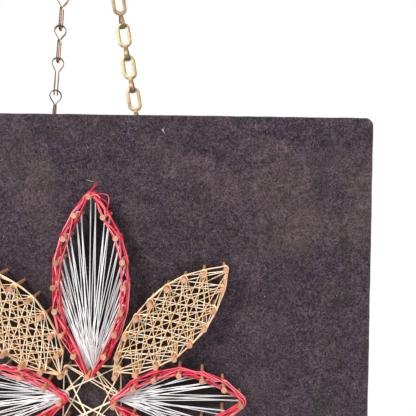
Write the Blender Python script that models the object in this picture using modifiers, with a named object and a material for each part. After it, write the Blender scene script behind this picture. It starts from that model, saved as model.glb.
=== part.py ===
"""A felt-covered string art board hung on a folded-link brass chain.

Metres, +Z up, front facing -Y. The origin is the hanging point: the underside of the
chain's top link, where a wall nail carries it. The chain runs in the plane y = 0 and the
board hangs in front of it.
"""
import math

import bmesh
import bpy
from mathutils import Matrix, Vector

MM = 0.001
GAP = 0.3 * MM                      # between pieces that touch
CUT_PAST = 1.0 * MM                 # how far a cutter runs past the face it opens
TOLERANCE = 1e-7

# Board and felt
FACE_SIDE = 305.0 * MM              # square, measured over the felt
FACE_TOP = -131.8 * MM              # height of its top edge
FACE_CENTRE_X = 12.4 * MM           # the chain hangs a little to the left of the middle
FACE_CORNER = 4.5 * MM              # corner radius over the felt
FELT_THICK = 1.0 * MM
FELT_TURN_IN = 25.0 * MM            # width of the felt glued to the back
FELT_EDGE_SOFTNESS = 0.8 * MM
BOARD_THICK = 12.0 * MM
BACK_Y = -7.2 * MM                  # the felt's outer face at the back
CORNER_SEGMENTS = 4

# Nails: 25 mm panel pins with flat heads
NAIL_LENGTH = 25.0 * MM
NAIL_PROUD = 18.0 * MM              # from the felt to the top of the head
NAIL_HEAD_RADIUS = 1.5 * MM
NAIL_HEAD_THICK = 0.6 * MM
NAIL_SHANK_RADIUS = 0.85 * MM
NAIL_HEAD_SIDES = 6
NAIL_SHANK_SIDES = 4

# Windings, as heights above the felt
UPPER_WINDING = (11.0 * MM, 14.0 * MM)
LOWER_WINDING = (7.6 * MM, 8.8 * MM)
RED_BAND_WIDTH = 5.0 * MM
CREAM_MARGIN = 1.6 * MM             # thread outside the nail line
WHITE_BUNDLE_WIDTH = 1.6 * MM

# Motif: name, axis angle from +X in degrees, inner and outer tip radius, half width and
# number of nail spaces along each side
PETALS = (
    ("n", 90.0, 14.0 * MM, 108.0 * MM, 18.0 * MM, 8),
    ("e", 0.0, 14.0 * MM, 80.0 * MM, 15.0 * MM, 6),
    ("s", 270.0, 14.0 * MM, 108.0 * MM, 18.0 * MM, 8),
    ("w", 180.0, 14.0 * MM, 80.0 * MM, 15.0 * MM, 6),
)
LEAVES = (
    ("ne", 45.0, 20.0 * MM, 100.0 * MM, 15.0 * MM, 8),
    ("nw", 135.0, 20.0 * MM, 100.0 * MM, 15.0 * MM, 8),
    ("sw", 225.0, 20.0 * MM, 100.0 * MM, 15.0 * MM, 8),
    ("se", 315.0, 20.0 * MM, 100.0 * MM, 15.0 * MM, 8),
)
FAN_FIRST_NAIL = 3                  # the white strands skip the nails near the base
HUB_VALLEY_RADIUS = 8.0 * MM        # between the middle star's points

# Chain link: a flat stamping of ring, bridge and ring, folded at the bridge's middle
STRIP_THICK = 0.6 * MM
RING_LENGTH = 14.4 * MM
RING_WIDTH = 8.2 * MM
RING_STRIP = 1.9 * MM
RING_CORNER = 3.6 * MM
HOLE_CORNER = 1.1 * MM
RING_SPACING = 1.9 * MM             # between the two rings' middle planes
PINCHED_SPACING = 0.95 * MM         # the same where the link is pinched together
LINK_LENGTH = 22.9 * MM
LOOP_RADIUS = 3.3 * MM              # the loop's middle line
NECK_HALF_WIDTH = 1.15 * MM
BEND_HALF_WIDTH = 1.4 * MM
LINK_PITCH = 19.5 * MM
LINKS_PER_STRAND = 8
RING_CORNER_SEGMENTS = 2
LOOP_SEGMENTS = 4

# How the chain hangs
TOP_LINK_HEIGHT = (RING_SPACING + STRIP_THICK) / 2     # its underside is at the origin
TOP_LINK_TILT = math.radians(10.5)  # its left end hangs lower
LEFT_LEAN = math.radians(3.9)
RIGHT_LEAN = math.radians(9.6)
LEFT_TWISTS = (22.0, 26.0, 18.0, 11.0, 10.0, 8.0, 5.0, 2.0)    # degrees, from the lowest link up
TWIST_STEP = math.radians(18.0)     # five joints turn the right strand a quarter
PINCHED_LINKS = ("left_1", "left_2", "left_4", "left_5", "left_6", "left_8",
                 "right_2", "right_4", "right_5", "right_7")
LOOP_OVER_RINGS = 1.0 * MM          # left strand's loop over the top link's rings
RINGS_OVER_LOOP = 1.1 * MM          # right strand's rings over the top link's loop

# Screw eyes
EYE_WIRE = 1.4 * MM
EYE_RADIUS = 3.05 * MM              # the ring's middle line
EYE_SHANK_DEPTH = 9.0 * MM
EYE_OPEN_ANGLE = math.radians(36.0)
EYE_POINTS = 14
EYE_HOLE_SIDES = 8

FACE_Y = BACK_Y - 2 * FELT_THICK - 2 * GAP - BOARD_THICK     # the felt's front face
FACE_CENTRE = Vector((FACE_CENTRE_X, FACE_TOP - FACE_SIDE / 2))


# ---------------------------------------------------------------- scene helpers

def clear_scene():
    """Remove what the file opens with."""
    for thing in list(bpy.data.objects):
        bpy.data.objects.remove(thing, do_unlink=True)


def new_collection(name):
    collection = bpy.data.collections.new(name)
    bpy.context.scene.collection.children.link(collection)
    return collection


def new_material(name, color, roughness, metallic=0.0):
    material = bpy.data.materials.new(name)
    material.use_nodes = True
    shader = material.node_tree.nodes["Principled BSDF"]
    shader.inputs["Base Color"].default_value = (*color, 1.0)
    shader.inputs["Roughness"].default_value = roughness
    shader.inputs["Metallic"].default_value = metallic
    return material


def add_mesh_object(name, mesh, collection, material=None):
    thing = bpy.data.objects.new(name, mesh)
    collection.objects.link(thing)
    if material:
        mesh.materials.clear()
        mesh.materials.append(material)
    return thing


def mesh_from_curve(curve_object):
    """The curve's closed mesh, in world coordinates; the curve is removed."""
    depsgraph = bpy.context.evaluated_depsgraph_get()
    mesh = bpy.data.meshes.new_from_object(curve_object.evaluated_get(depsgraph))
    mesh.transform(curve_object.matrix_world)
    data = curve_object.data
    bpy.data.objects.remove(curve_object)
    bpy.data.curves.remove(data)
    shape = bmesh.new()
    shape.from_mesh(mesh)
    bmesh.ops.remove_doubles(shape, verts=shape.verts, dist=1e-6)
    bmesh.ops.recalc_face_normals(shape, faces=shape.faces)
    shape.to_mesh(mesh)
    shape.free()
    return mesh


def slab_mesh(loops, thickness, matrix):
    """A flat outline with its holes, filled, given a thickness and moved by a matrix."""
    data = bpy.data.curves.new("outline", "CURVE")
    data.dimensions = "2D"
    data.fill_mode = "BOTH"
    data.extrude = thickness / 2
    for loop in loops:
        spline = data.splines.new("POLY")
        spline.points.add(len(loop) - 1)
        for point, place in zip(spline.points, loop):
            point.co = (place[0], place[1], 0.0, 1.0)
        spline.use_cyclic_u = True
    thing = bpy.data.objects.new("outline", data)
    bpy.context.scene.collection.objects.link(thing)
    thing.matrix_world = matrix
    bpy.context.view_layer.update()
    return mesh_from_curve(thing)


def upright(y_front, y_back):
    """Stands an outline up: its x and y become X and Z, between two planes of Y."""
    place = Matrix.Translation((0.0, (y_front + y_back) / 2, 0.0))
    return place @ Matrix.Rotation(math.pi / 2, 4, "X")


def upright_slab(loops, y_front, y_back):
    return slab_mesh(loops, abs(y_back - y_front), upright(y_front, y_back))


def boolean(thing, cutter, operation):
    modifier = thing.modifiers.new(operation.lower(), "BOOLEAN")
    modifier.operation = operation
    modifier.solver = "EXACT"
    modifier.object = cutter


def add_cutter(name, mesh, collection):
    cutter = add_mesh_object(name, mesh, collection)
    cutter.hide_render = True
    cutter.display_type = "WIRE"
    return cutter


def smooth_round_faces(mesh):
    for polygon in mesh.polygons:
        polygon.use_smooth = True
    mesh.set_sharp_from_angle(angle=math.radians(40.0))


# ---------------------------------------------------------------- outlines

def arc(centre, radius, start, end, segments):
    """Points on an arc, both ends included."""
    points = []
    for step in range(segments + 1):
        angle = start + (end - start) * step / segments
        points.append((centre[0] + radius * math.cos(angle), centre[1] + radius * math.sin(angle)))
    return points


def rounded_rectangle(centre, width, height, radius, segments):
    points = []
    corners = ((1, 1), (-1, 1), (-1, -1), (1, -1))
    for quarter, (side_x, side_y) in enumerate(corners):
        middle = (centre[0] + side_x * (width / 2 - radius), centre[1] + side_y * (height / 2 - radius))
        start = quarter * math.pi / 2
        points += arc(middle, radius, start, start + math.pi / 2, segments)
    return points


def face_outline(inset):
    """The square face's outline, drawn in by an inset."""
    side = FACE_SIDE - 2 * inset
    radius = max(FACE_CORNER - inset, 1.5 * MM)
    return rounded_rectangle(FACE_CENTRE, side, side, radius, CORNER_SEGMENTS)


class Lens:
    """A pointed oval between two tips on one axis through the motif's centre."""

    def __init__(self, angle, inner, outer, half_width, spaces):
        self.axis = Vector((math.cos(math.radians(angle)), math.sin(math.radians(angle))))
        self.across = Vector((-self.axis.y, self.axis.x))
        self.middle = (inner + outer) / 2
        self.half_length = (outer - inner) / 2
        self.half_width = half_width
        self.spaces = spaces

    def point(self, step, side, offset=0.0):
        """A place on one side, an offset outside the nail line."""
        half_length = self.half_length
        radius = (half_length ** 2 + self.half_width ** 2) / (2 * self.half_width)
        sweep = math.asin(half_length / radius)
        reach = radius + offset
        if offset:
            sweep = math.acos((radius - self.half_width) / reach)
        angle = sweep * (2 * step / self.spaces - 1)
        along = self.middle + reach * math.sin(angle)
        out = reach * math.cos(angle) - (radius - self.half_width)
        return FACE_CENTRE + self.axis * along + self.across * (side * out)

    def outline(self, offset=0.0):
        """Both sides as one loop, tip to tip and back."""
        left = [self.point(step, 1, offset) for step in range(self.spaces + 1)]
        right = [self.point(step, -1, offset) for step in range(self.spaces - 1, 0, -1)]
        return left + right

    def nails(self):
        return self.outline()

    def base(self):
        return self.point(0, 1)


# ---------------------------------------------------------------- nails and windings

def prisms(places, sides, radius, y_front, y_back):
    """A mesh of like prisms along Y, one at each place."""
    shape = bmesh.new()
    depth = y_back - y_front
    for place in places:
        matrix = Matrix.Translation((place[0], (y_front + y_back) / 2, place[1]))
        matrix = matrix @ Matrix.Rotation(math.pi / 2, 4, "X")
        bmesh.ops.create_cone(shape, cap_ends=True, segments=sides, radius1=radius,
                              radius2=radius, depth=depth, matrix=matrix)
    mesh = bpy.data.meshes.new("prisms")
    shape.to_mesh(mesh)
    shape.free()
    return mesh


def add_nails(winding, places, cutters):
    """Join a winding and the nails that it is wound on."""
    head_top = FACE_Y - NAIL_PROUD
    shanks = prisms(places, NAIL_SHANK_SIDES, NAIL_SHANK_RADIUS,
                    head_top + NAIL_HEAD_THICK / 2, head_top + NAIL_LENGTH)
    heads = prisms(places, NAIL_HEAD_SIDES, NAIL_HEAD_RADIUS, head_top, head_top + NAIL_HEAD_THICK)
    boolean(winding, add_cutter(winding.name + "_shanks", shanks, cutters), "UNION")
    boolean(winding, add_cutter(winding.name + "_heads", heads, cutters), "UNION")


def winding_slab(loops, heights):
    return upright_slab(loops, FACE_Y - heights[1], FACE_Y - heights[0])


def add_red_petal(name, lens, parts, cutters, material):
    """The band of thread wound back and forth along a petal's nails."""
    loops = (lens.outline(RED_BAND_WIDTH / 2), lens.outline(-RED_BAND_WIDTH / 2))
    petal = add_mesh_object("red_petal_" + name, winding_slab(loops, UPPER_WINDING), parts, material)
    add_nails(petal, lens.nails(), cutters)


def add_cream_leaf(name, lens, parts, cutters, material):
    """The net of thread crossed from side to side of a leaf."""
    loops = (lens.outline(CREAM_MARGIN),)
    leaf = add_mesh_object("cream_leaf_" + name, winding_slab(loops, UPPER_WINDING), parts, material)
    add_nails(leaf, lens.nails(), cutters)


def finger_corners(base, tip, half_width):
    """A bundle's two end corners, the clockwise one first, short of the nail at its tip."""
    along = (tip - base).normalized()
    across = Vector((-along.y, along.x)) * half_width
    end = tip - along * (NAIL_SHANK_RADIUS + GAP + half_width)
    return end - across, end + across


def add_white_fan(name, lens, parts, material):
    """Bundles of straight strands spread from a petal's base nail, joined near it."""
    base = lens.base()
    steps = range(FAN_FIRST_NAIL, lens.spaces)
    tips = [lens.point(step, -1) for step in steps] + [lens.point(lens.spaces, 1)]
    tips += [lens.point(step, 1) for step in reversed(steps)]
    half_width = WHITE_BUNDLE_WIDTH / 2
    start = base + lens.axis * (NAIL_SHANK_RADIUS + GAP + half_width)
    outline = [start + lens.across * half_width, start - lens.across * half_width]
    for tip, following in zip(tips, tips[1:] + [None]):
        outline += finger_corners(base, tip, half_width)
        if following:
            first, second = (tip - base).normalized(), (following - base).normalized()
            opening = first.angle(second) / 2
            outline.append(base + (first + second).normalized() * (half_width / math.sin(opening)))
    fan = winding_slab((outline,), LOWER_WINDING)
    add_mesh_object("white_fan_" + name, fan, parts, material)


def add_hub_star(lenses, parts, material):
    """Thread crossed between the innermost nails of the eight lenses."""
    reach = NAIL_SHANK_RADIUS + 2 * GAP
    outline = []
    turn = math.pi / len(lenses)
    for lens in lenses:
        angle = math.atan2(lens.axis.y, lens.axis.x)
        tip = (lens.base() - FACE_CENTRE).length - reach
        for radius, heading in ((tip, angle), (HUB_VALLEY_RADIUS, angle + turn)):
            outline.append(FACE_CENTRE + radius * Vector((math.cos(heading), math.sin(heading))))
    star = winding_slab((outline,), LOWER_WINDING)
    add_mesh_object("cream_hub_star", star, parts, material)


# ---------------------------------------------------------------- chain

def hole_outline(centre):
    length, width = RING_LENGTH - 2 * RING_STRIP, RING_WIDTH - 2 * RING_STRIP
    return rounded_rectangle((centre, 0.0), length, width, HOLE_CORNER, RING_CORNER_SEGMENTS)


def loop_path(loop_centre, neck, spacing):
    """Stations along half of the folded bridge: length from the bend, then place and normal.

    Places and normals are pairs: across the rings, and along the link.
    """
    spread = spacing / 2
    fall = loop_centre - neck
    distance = math.hypot(spread, fall)
    turn = math.atan2(spread, -fall) - math.acos(LOOP_RADIUS / distance)
    stations = []
    for step in range(LOOP_SEGMENTS + 1):
        angle = turn * step / LOOP_SEGMENTS
        normal = (math.sin(angle), math.cos(angle))
        place = (LOOP_RADIUS * normal[0], loop_centre + LOOP_RADIUS * normal[1])
        stations.append((LOOP_RADIUS * angle, place, normal))
    tangent = math.sqrt(distance ** 2 - LOOP_RADIUS ** 2)
    mitre = (turn + math.pi / 2) / 2
    stretch = 1.0 / math.cos((turn - math.pi / 2) / 2)
    normal = (stretch * math.sin(mitre), stretch * math.cos(mitre))
    stations.append((LOOP_RADIUS * turn + tangent, (spread, neck), normal))
    return stations


def bridge_half_width(share):
    """Half the bridge's width, from its bend (0) to its neck (1)."""
    ease = (1 + math.cos(math.pi * share)) / 2
    return NECK_HALF_WIDTH + (BEND_HALF_WIDTH - NECK_HALF_WIDTH) * ease


def link_mesh(spacing):
    """One link along +Z, its far ring end's inner edge at the origin, rings across X."""
    neck_height = RING_LENGTH - RING_STRIP
    loop_centre = LINK_LENGTH - RING_STRIP - STRIP_THICK / 2 - LOOP_RADIUS
    stations = loop_path(loop_centre, neck_height, spacing)
    bridge = stations[-1][0]

    ring_middle = bridge + RING_LENGTH / 2
    ring = rounded_rectangle((ring_middle, 0.0), RING_LENGTH, RING_WIDTH, RING_CORNER,
                             RING_CORNER_SEGMENTS)
    ring_side = sorted(point for point in ring if point[1] > NECK_HALF_WIDTH or
                       point[0] > ring_middle and point[1] > 0)
    bridge_side = [(length, bridge_half_width(length / bridge)) for length, _, _ in stations]
    upper = bridge_side + ring_side
    right = upper + [(x, -y) for x, y in reversed(upper)]
    outline = right + [(-x, -y) for x, y in right[1:-1]]
    holes = [hole_outline(ring_middle), hole_outline(-ring_middle)]
    mesh = slab_mesh([outline] + holes, STRIP_THICK, Matrix.Identity(4))

    shape = bmesh.new()
    shape.from_mesh(mesh)
    for length, _, _ in stations:
        for side in (-length, length):
            cut = shape.verts[:] + shape.edges[:] + shape.faces[:]
            bmesh.ops.bisect_plane(shape, geom=cut, dist=TOLERANCE, plane_co=(side, 0, 0),
                                   plane_no=(1, 0, 0))
    for vertex in shape.verts:
        vertex.co = folded(vertex.co, stations)
    bmesh.ops.recalc_face_normals(shape, faces=shape.faces)
    shape.to_mesh(mesh)
    shape.free()
    mesh.name = "link"
    smooth_round_faces(mesh)
    return mesh


def folded(flat, stations):
    """Where a point of the flat stamping goes when the bridge is folded."""
    side = -1.0 if flat.x < 0 else 1.0
    length = abs(flat.x)
    last_length, last_place, _ = stations[-1]
    if length > last_length + 10 * TOLERANCE:
        across = last_place[0] + flat.z
        along = last_place[1] - (length - last_length)
        return Vector((side * across, flat.y, along))
    _, place, normal = min(stations, key=lambda station: abs(station[0] - length))
    across = place[0] + flat.z * normal[0]
    along = place[1] + flat.z * normal[1]
    return Vector((side * across, flat.y, along))


def frame_matrix(origin, along, twist):
    """Places a link: its Z along a direction in the XZ plane, its rings turned by a twist."""
    across = Vector((along.z, 0.0, -along.x))
    turned = across * math.cos(twist) + Vector((0.0, 1.0, 0.0)) * math.sin(twist)
    matrix = Matrix((turned, along.cross(turned), along)).transposed().to_4x4()
    matrix.translation = origin
    return matrix


def tilted(across, up):
    """A point of the level top link, turned with it about the hanging point."""
    return Matrix.Rotation(-TOP_LINK_TILT, 3, "Y") @ Vector((across, 0.0, up))


def chain_places():
    """Names and matrices of all links, and where the two screw eyes' wires run."""
    loop_centre = LINK_LENGTH - RING_STRIP - STRIP_THICK / 2 - LOOP_RADIUS
    inner_bend = LINK_LENGTH - RING_STRIP - STRIP_THICK
    top_start = -(LINK_LENGTH / 2 - RING_STRIP)
    stack = RING_SPACING / 2 + STRIP_THICK / 2
    places = []

    up = Vector((math.sin(LEFT_LEAN), 0.0, math.cos(LEFT_LEAN)))
    loop_top = tilted(top_start - RING_STRIP / 2, TOP_LINK_HEIGHT + stack + LOOP_OVER_RINGS)
    highest = loop_top - up * inner_bend
    for number in range(LINKS_PER_STRAND):
        origin = highest - up * (LINK_PITCH * (LINKS_PER_STRAND - 1 - number))
        twist = math.radians(LEFT_TWISTS[number])
        places.append((f"chain_left_{number + 1}", frame_matrix(origin, up, twist)))
    left_wire = places[0][1].translation + up * (EYE_WIRE / 2 + GAP)

    top = tilted(top_start, TOP_LINK_HEIGHT)
    places.append(("chain_top", frame_matrix(top, tilted(1.0, 0.0), 0.0)))

    down = Vector((math.sin(RIGHT_LEAN), 0.0, -math.cos(RIGHT_LEAN)))
    rest = TOP_LINK_HEIGHT - LOOP_RADIUS + STRIP_THICK / 2 + RINGS_OVER_LOOP
    first = tilted(top_start + loop_centre, rest)
    for number in range(LINKS_PER_STRAND):
        origin = first + down * (LINK_PITCH * number)
        twist = min(TWIST_STEP * (number + 1), math.pi / 2)
        places.append((f"chain_right_{number + 1}", frame_matrix(origin, down, twist)))
    right_wire = origin + down * (inner_bend - EYE_WIRE / 2 - GAP)
    return places, (left_wire, right_wire)


def eye_points(wire):
    """A screw eye's wire: its shank, then its ring from the root almost round to it."""
    centre = Vector((wire.x, wire.y - EYE_RADIUS, wire.z))
    root = BACK_Y + 0.2 * MM
    points = [Vector((wire.x, BACK_Y - EYE_SHANK_DEPTH, wire.z)), Vector((wire.x, root - 0.5 * MM, wire.z))]
    start = -math.pi / 2 + math.radians(14.0)
    end = 1.5 * math.pi - EYE_OPEN_ANGLE
    for step in range(EYE_POINTS + 1):
        angle = start + (end - start) * step / EYE_POINTS
        points.append(centre + EYE_RADIUS * Vector((math.cos(angle), math.sin(angle), 0.0)))
    return points


def add_screw_eye(name, wire, parts, material):
    data = bpy.data.curves.new(name, "CURVE")
    data.dimensions = "3D"
    data.bevel_depth = EYE_WIRE / 2
    data.bevel_resolution = 2
    data.use_fill_caps = True
    points = eye_points(wire)
    spline = data.splines.new("POLY")
    spline.points.add(len(points) - 1)
    for point, place in zip(spline.points, points):
        point.co = (*place, 1.0)
    data.materials.append(material)
    thing = bpy.data.objects.new(name, data)
    parts.objects.link(thing)


# ---------------------------------------------------------------- board and felt

def add_board(holes, parts, material):
    inset = FELT_THICK + GAP
    front = FACE_Y + FELT_THICK + GAP
    mesh = upright_slab((face_outline(inset),), front, front + BOARD_THICK)
    board = add_mesh_object("board", mesh, parts, material)
    boolean(board, holes, "DIFFERENCE")


def add_felt(holes, parts, cutters, material):
    """One sheet over the front and the edges, turned in on the back."""
    mesh = upright_slab((face_outline(0.0),), FACE_Y, BACK_Y)
    felt = add_mesh_object("felt_cover", mesh, parts, material)
    bevel = felt.modifiers.new("soft edges", "BEVEL")
    bevel.width = FELT_EDGE_SOFTNESS
    bevel.segments = 1
    bevel.limit_method = "ANGLE"
    bevel.angle_limit = math.radians(60.0)
    inside = upright_slab((face_outline(FELT_THICK),), FACE_Y + FELT_THICK, BACK_Y - FELT_THICK)
    boolean(felt, add_cutter("felt_inside", inside, cutters), "DIFFERENCE")
    window = upright_slab((face_outline(FELT_TURN_IN),), BACK_Y - FELT_THICK - CUT_PAST,
                          BACK_Y + CUT_PAST)
    boolean(felt, add_cutter("felt_window", window, cutters), "DIFFERENCE")
    boolean(felt, holes, "DIFFERENCE")


def hole_cutter(nails, wires, cutters):
    """Holes for every nail in the front, and for the screw eyes in the back."""
    clearance = 1.5 * GAP
    front_end = FACE_Y - NAIL_PROUD + NAIL_LENGTH + GAP
    front = prisms(nails, NAIL_SHANK_SIDES, NAIL_SHANK_RADIUS + clearance, FACE_Y - CUT_PAST, front_end)
    eyes = [(wire.x, wire.z) for wire in wires]
    back = prisms(eyes, EYE_HOLE_SIDES, EYE_WIRE / 2 + clearance,
                  BACK_Y - EYE_SHANK_DEPTH - GAP, BACK_Y + CUT_PAST)
    shape = bmesh.new()
    shape.from_mesh(front)
    shape.from_mesh(back)
    shape.to_mesh(front)
    shape.free()
    return add_cutter("holes", front, cutters)


def main():
    clear_scene()
    parts = new_collection("string_art")
    cutters = new_collection("cutters")
    wood = new_material("wood", (0.55, 0.38, 0.22), 0.7)
    felt = new_material("felt", (0.048, 0.037, 0.045), 0.95)
    red = new_material("red_thread", (0.68, 0.02, 0.06), 0.5)
    cream = new_material("cream_thread", (0.75, 0.58, 0.28), 0.5)
    white = new_material("white_thread", (0.85, 0.84, 0.86), 0.4)
    brass = new_material("brass", (0.58, 0.38, 0.16), 0.35, 1.0)

    petals = [(name, Lens(*sizes)) for name, *sizes in PETALS]
    leaves = [(name, Lens(*sizes)) for name, *sizes in LEAVES]
    for name, lens in petals:
        add_red_petal(name, lens, parts, cutters, red)
        add_white_fan(name, lens, parts, white)
    for name, lens in leaves:
        add_cream_leaf(name, lens, parts, cutters, cream)
    lenses = [lens for _, lens in petals + leaves]
    lenses.sort(key=lambda lens: math.atan2(lens.axis.y, lens.axis.x))
    add_hub_star(lenses, parts, cream)

    places, wires = chain_places()
    open_link, pinched_link = link_mesh(RING_SPACING), link_mesh(PINCHED_SPACING)
    for name, matrix in places:
        link = pinched_link if name.removeprefix("chain_") in PINCHED_LINKS else open_link
        thing = add_mesh_object(name, link, parts, brass)
        thing.matrix_world = matrix
    add_screw_eye("screw_eye_left", wires[0], parts, brass)
    add_screw_eye("screw_eye_right", wires[1], parts, brass)

    nails = [place for lens in lenses for place in lens.nails()]
    holes = hole_cutter(nails, wires, cutters)
    add_board(holes, parts, wood)
    add_felt(holes, parts, cutters, felt)


main()
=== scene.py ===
"""String art board on a folded-link chain: the looks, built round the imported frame.

Metres, +Z up, front facing -Y. The origin is the point where the wall nail carries the chain.
"""
import logging
import math
import random
from collections.abc import Callable, Iterable, Sequence
from dataclasses import dataclass, field, replace
from enum import Enum

import bmesh
import bpy
from mathutils import Matrix, Vector


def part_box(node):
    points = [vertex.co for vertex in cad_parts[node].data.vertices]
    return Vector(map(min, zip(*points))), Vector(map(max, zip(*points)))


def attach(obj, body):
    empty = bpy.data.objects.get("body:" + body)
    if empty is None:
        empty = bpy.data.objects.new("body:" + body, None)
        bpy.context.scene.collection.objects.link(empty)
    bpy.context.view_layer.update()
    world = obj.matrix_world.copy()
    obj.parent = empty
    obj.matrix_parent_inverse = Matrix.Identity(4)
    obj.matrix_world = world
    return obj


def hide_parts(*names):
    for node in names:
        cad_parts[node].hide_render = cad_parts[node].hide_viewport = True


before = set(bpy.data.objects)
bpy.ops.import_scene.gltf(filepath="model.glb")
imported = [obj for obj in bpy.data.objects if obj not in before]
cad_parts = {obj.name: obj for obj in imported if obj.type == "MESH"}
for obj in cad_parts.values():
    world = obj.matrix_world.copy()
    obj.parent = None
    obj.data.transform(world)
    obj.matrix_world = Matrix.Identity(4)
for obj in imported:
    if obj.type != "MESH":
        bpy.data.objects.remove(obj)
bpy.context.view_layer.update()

MM = 0.001
BODY = "root"
LOG = logging.getLogger("string_art")
LOW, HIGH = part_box("felt_cover")         # the felt's two corners
FACE = LOW.y                             # its front face
MIDDLE = Vector(((LOW.x + HIGH.x) / 2, (LOW.z + HIGH.z) / 2))    # its middle, across and up
BACK = Vector((0.0, 1.0, 0.0))           # from the front of the board to its back
MOTTLE = "mottle"                        # the two shader groups that the finishes share
TWIST = "twist"

Colour = tuple[float, float, float]
Line = list[Vector]
Socket = bpy.types.NodeSocket
Thing = bpy.types.Object


class Slot(Enum):
    """The material slots."""

    WOOD = "wood"
    FELT = "felt"
    RED = "red_thread"
    CREAM = "cream_thread"
    WHITE = "white_thread"
    NAILS = "nails"
    BRASS = "brass"


class Part(Enum):
    """What a test picks out of an edited mesh."""

    FACES = "FACE"
    EDGES = "EDGE"


Finishes = dict[Slot | None, bpy.types.Material]


# ---------------------------------------------------------------- the modelling bench

def take(*things: Thing) -> None:
    """Go to object mode with only these things selected.

    Args:
        *things: The objects to work on, the one to be active first.
    """
    if bpy.context.object and bpy.context.object.mode != "OBJECT":
        bpy.ops.object.mode_set(mode="OBJECT")
    bpy.ops.object.select_all(action="DESELECT")
    for thing in things:
        thing.select_set(True)
    if things:
        bpy.context.view_layer.objects.active = things[0]


def edit(thing: Thing) -> None:
    """Open an object in edit mode with nothing selected in it.

    Args:
        thing: The mesh object to edit.
    """
    take(thing)
    bpy.ops.object.mode_set(mode="EDIT")
    bpy.ops.mesh.select_all(action="DESELECT")


def select(part: Part, test: Callable[[Vector, Vector], bool]) -> None:
    """Select the faces or edges of the edited mesh that pass a test, and no others.

    Args:
        part: Faces or edges.
        test: Takes a face's middle and normal, or the places of an edge's two ends.
    """
    bpy.ops.mesh.select_mode(type=part.value)
    bpy.ops.mesh.select_all(action="DESELECT")
    mesh = bpy.context.object.data
    shape = bmesh.from_edit_mesh(mesh)
    if part is Part.FACES:
        chosen = [face for face in shape.faces if test(face.calc_center_median(), face.normal)]
    else:
        chosen = [edge for edge in shape.edges if test(edge.verts[0].co, edge.verts[1].co)]
    for item in chosen:
        item.select_set(True)
    bmesh.update_edit_mesh(mesh)


def close_edit() -> None:
    """Point the edited mesh's faces outwards and go back to object mode."""
    bpy.ops.mesh.select_mode(type="FACE")
    bpy.ops.mesh.select_all(action="SELECT")
    bpy.ops.mesh.remove_doubles(threshold=1e-6)
    bpy.ops.mesh.normals_make_consistent(inside=False)
    bpy.ops.object.mode_set(mode="OBJECT")


def settle(thing: Thing, name: str) -> Thing:
    """Put an object's place, turn and size into its mesh, and name it.

    Args:
        thing: The object.
        name: Its name as a piece.

    Returns:
        The same object.
    """
    take(thing)
    bpy.ops.object.transform_apply(location=True, rotation=True, scale=True)
    thing.name = name
    thing.data.name = name
    return thing


def finish_with(thing: Thing, kind: str, **settings: object) -> None:
    """Add a modifier with its settings and apply it.

    Args:
        thing: The mesh object.
        kind: The modifier's type.
        **settings: Its property values.
    """
    take(thing)
    modifier = thing.modifiers.new(kind.lower(), kind)
    for key, value in settings.items():
        setattr(modifier, key, value)
    bpy.ops.object.modifier_apply(modifier=modifier.name)


def copies(model: Thing, places: Iterable[Matrix], name: str) -> Thing:
    """Copy a modelled thing to many places and join the copies into one piece.

    Args:
        model: The thing that repeats, at the origin.
        places: Where each copy goes.
        name: The piece's name.

    Returns:
        The joined piece, its place in its mesh.
    """
    made = []
    for place in places:
        twin = model.copy()
        twin.data = model.data.copy()
        bpy.context.scene.collection.objects.link(twin)
        twin.matrix_world = place
        made.append(twin)
    take(*made)
    bpy.ops.object.join()
    return settle(made[0], name)


def smooth(thing: Thing, degrees: float) -> None:
    """Shade a piece smooth except across edges sharper than an angle."""
    take(thing)
    bpy.ops.object.shade_smooth_by_angle(angle=math.radians(degrees))


def dress(thing: Thing, material: bpy.types.Material) -> None:
    """Give a piece one material and no other."""
    thing.data.materials.clear()
    thing.data.materials.append(material)


def declare(thing: Thing, finishes: Finishes, slot: Slot | None, *nodes: str) -> Thing:
    """Finish a piece, and tell the frame what it rides on and stands for.

    Args:
        thing: The modelled piece.
        finishes: Every finish.
        slot: The material slot, or None where it has no slot.
        *nodes: The CAD nodes that the piece stands for.

    Returns:
        The same piece.
    """
    dress(thing, finishes[slot])
    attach(thing, BODY)
    if nodes:
        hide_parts(*nodes)
    return thing


def mark(thing: Thing, name: str, domain: str, values: list[float]) -> None:
    """Keep a number for each point or face in an attribute that a finish reads."""
    thing.data.attributes.new(name, "FLOAT", domain).data.foreach_set("value", values)


def mark_share(model: Thing, face_share: Callable[[Vector, Vector], float]) -> None:
    """Mark how much of its finish's marked colour each face of a metal thing takes, by its middle and
    normal.
    """
    faces = model.data.polygons
    mark(model, "marked_share", "FACE", [float(face_share(face.center, face.normal)) for face in faces])


# ---------------------------------------------------------------- shader node helpers

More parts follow.
